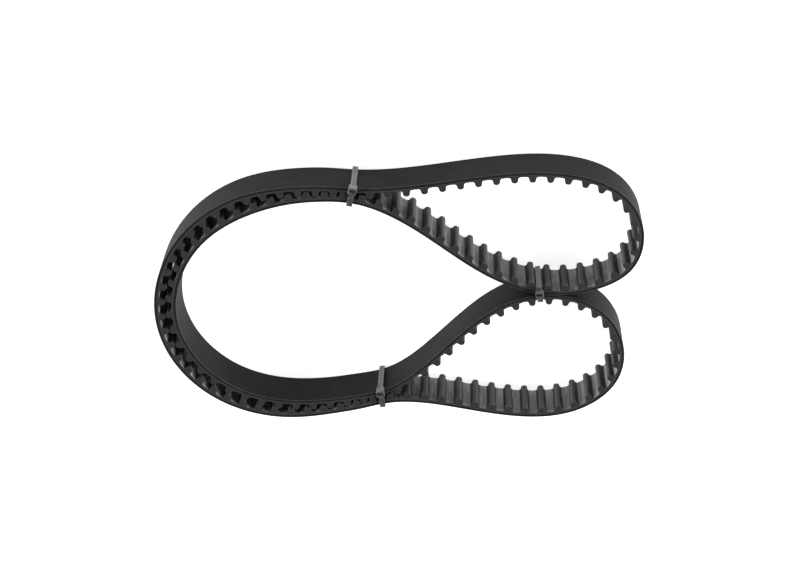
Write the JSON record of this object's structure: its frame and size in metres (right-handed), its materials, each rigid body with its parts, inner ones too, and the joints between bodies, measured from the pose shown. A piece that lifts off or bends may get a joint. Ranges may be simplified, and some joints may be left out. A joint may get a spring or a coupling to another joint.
{
  "type": "timing belt",
  "caption": "Endless toothed timing belt with its teeth on the inside, folded into a C with two lobes and held by small cable ties.",
  "frame": {"origin": "middle of the outline in X and Y, on the undersides of the cable-tie straps the coiled belt stands on", "axes": "+Z runs across the belt's width, from the lower to the upper side edge; +X runs from the C towards the two lobes; +Y runs from the lower lobe to the upper one"},
  "size_m": [0.2192, 0.1358, 0.0251],
  "materials": {
    "back_rubber": "satin",
    "cord_ply": "matte",
    "tooth_rubber": "satin",
    "tooth_fabric": "matte",
    "tie_nylon": "gloss"
  },
  "bodies": {
    "root": {"belt_back_cover": "back_rubber", "belt_tensile_cord_ply": "cord_ply", "belt_tooth_rubber": "tooth_rubber", "belt_tooth_facing": "tooth_fabric", "cable_tie_upper": "tie_nylon", "cable_tie_lower": "tie_nylon", "cable_tie_neck": "tie_nylon"}
  },
  "joints": []
}
